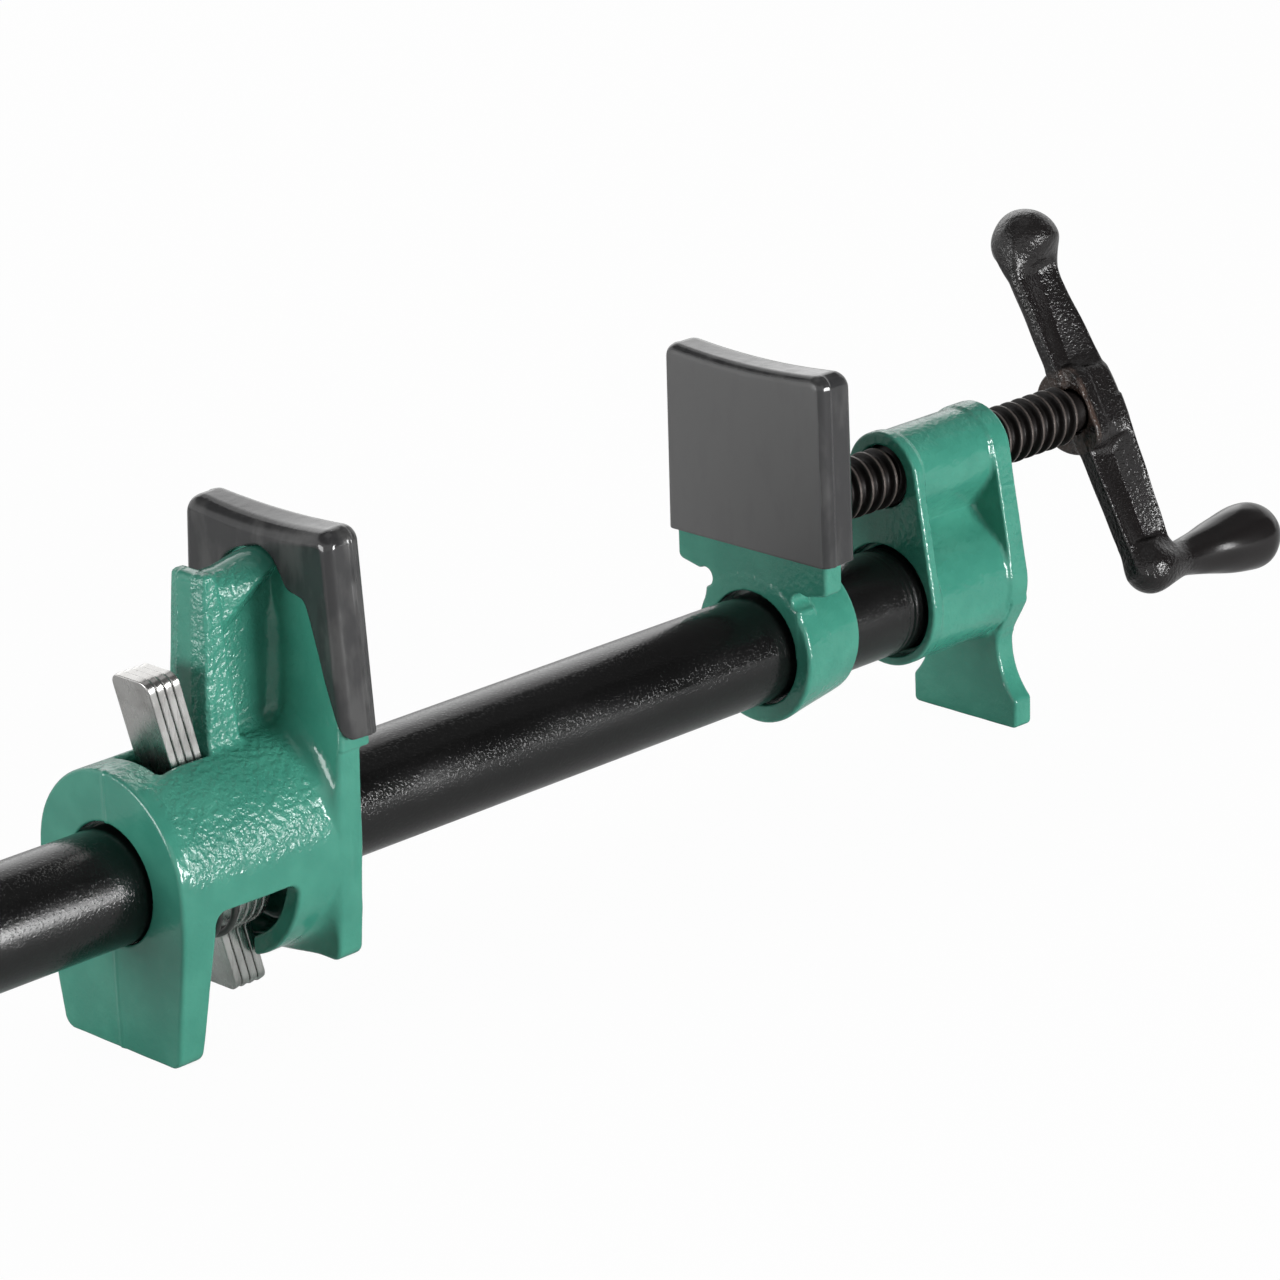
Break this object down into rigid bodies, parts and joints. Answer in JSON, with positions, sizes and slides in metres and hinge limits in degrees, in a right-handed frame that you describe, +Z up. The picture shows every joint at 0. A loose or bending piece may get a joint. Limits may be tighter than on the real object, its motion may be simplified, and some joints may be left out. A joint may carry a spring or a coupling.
{
  "type": "pipe clamp",
  "caption": "Woodworking pipe clamp: a crank screw head with sliding jaw at one end of a black pipe, a sliding clutch-plate tail jaw along it, both faces padded.",
  "frame": {"origin": "middle of the sole of the head casting's foot, on the bench", "axes": "+X along the pipe from the tail jaw to the crank, +Y across the pipe, +Z up"},
  "size_m": [0.5503, 0.0594, 0.12],
  "materials": {
    "green_enamel": "gloss",
    "grey_vinyl": "satin",
    "black_iron_pipe": "satin",
    "black_crank": "satin",
    "black_steel_screw": "satin",
    "plate_steel": "zinc plated",
    "spring_steel": "oiled",
    "pin_steel": "satin"
  },
  "bodies": {
    "pipe_and_head": {"pipe": "black_iron_pipe", "head_casting": "green_enamel"},
    "jaw": {"sliding_jaw": "green_enamel", "sliding_jaw_pad": "grey_vinyl", "upper_roll_pin": "pin_steel", "lower_roll_pin": "pin_steel"},
    "screw_and_crank": {"main_screw": "black_steel_screw", "crank_handle": "black_crank"},
    "spring_carrier": {"clutch_spring": "spring_steel"},
    "tail": {"tail_jaw": "green_enamel", "tail_jaw_pad": "grey_vinyl"},
    "plate_1": {"clutch_plate_1": "plate_steel"},
    "plate_2": {"clutch_plate_2": "plate_steel"},
    "plate_3": {"clutch_plate_3": "plate_steel"},
    "plate_4": {"clutch_plate_4": "plate_steel"}
  },
  "joints": [
    {"name": "jaw_slide", "type": "slide", "parent": "pipe_and_head", "child": "jaw", "axis": [1, 0, 0], "range_m": [-0.0245, 0.0215]},
    {"name": "screw_turn", "type": "hinge", "parent": "jaw", "child": "screw_and_crank", "pos_m": [-0.06, 0, 0.0708], "axis": [1, 0, 0], "range_deg": [-2080, 1820]},
    {"name": "tail_slide", "type": "slide", "parent": "pipe_and_head", "child": "spring_carrier", "axis": [1, 0, 0], "range_m": [-0.17, 0.117]},
    {"name": "tail_swivel", "type": "hinge", "parent": "spring_carrier", "child": "tail", "pos_m": [-0.25, 0, 0.0385], "axis": [1, 0, 0], "continuous": true},
    {"name": "clutch_tilt_4", "type": "hinge", "parent": "tail", "child": "plate_4", "pos_m": [-0.25738, 0, 0.05936], "axis": [0, 1, 0], "range_deg": [0, 14.2], "stiffness_Nm_per_rad": 0.8, "springref_deg": -8.59, "deforming": ["clutch_spring"]},
    {"name": "clutch_tilt_1", "type": "hinge", "parent": "tail", "child": "plate_1", "pos_m": [-0.26419, 0, 0.05936], "axis": [0, 1, 0], "range_deg": [0, 14.2]},
    {"name": "clutch_tilt_2", "type": "hinge", "parent": "tail", "child": "plate_2", "pos_m": [-0.26192, 0, 0.05936], "axis": [0, 1, 0], "range_deg": [0, 14.2]},
    {"name": "clutch_tilt_3", "type": "hinge", "parent": "tail", "child": "plate_3", "pos_m": [-0.25965, 0, 0.05936], "axis": [0, 1, 0], "range_deg": [0, 14.2]}
  ],
  "couplings": [
    {"joint": "jaw_slide", "follows": "screw_turn", "m_per_rad": 0.0006737},
    {"joint": "clutch_tilt_1", "follows": "clutch_tilt_4", "ratio": 1},
    {"joint": "clutch_tilt_2", "follows": "clutch_tilt_4", "ratio": 1},
    {"joint": "clutch_tilt_3", "follows": "clutch_tilt_4", "ratio": 1}
  ]
}
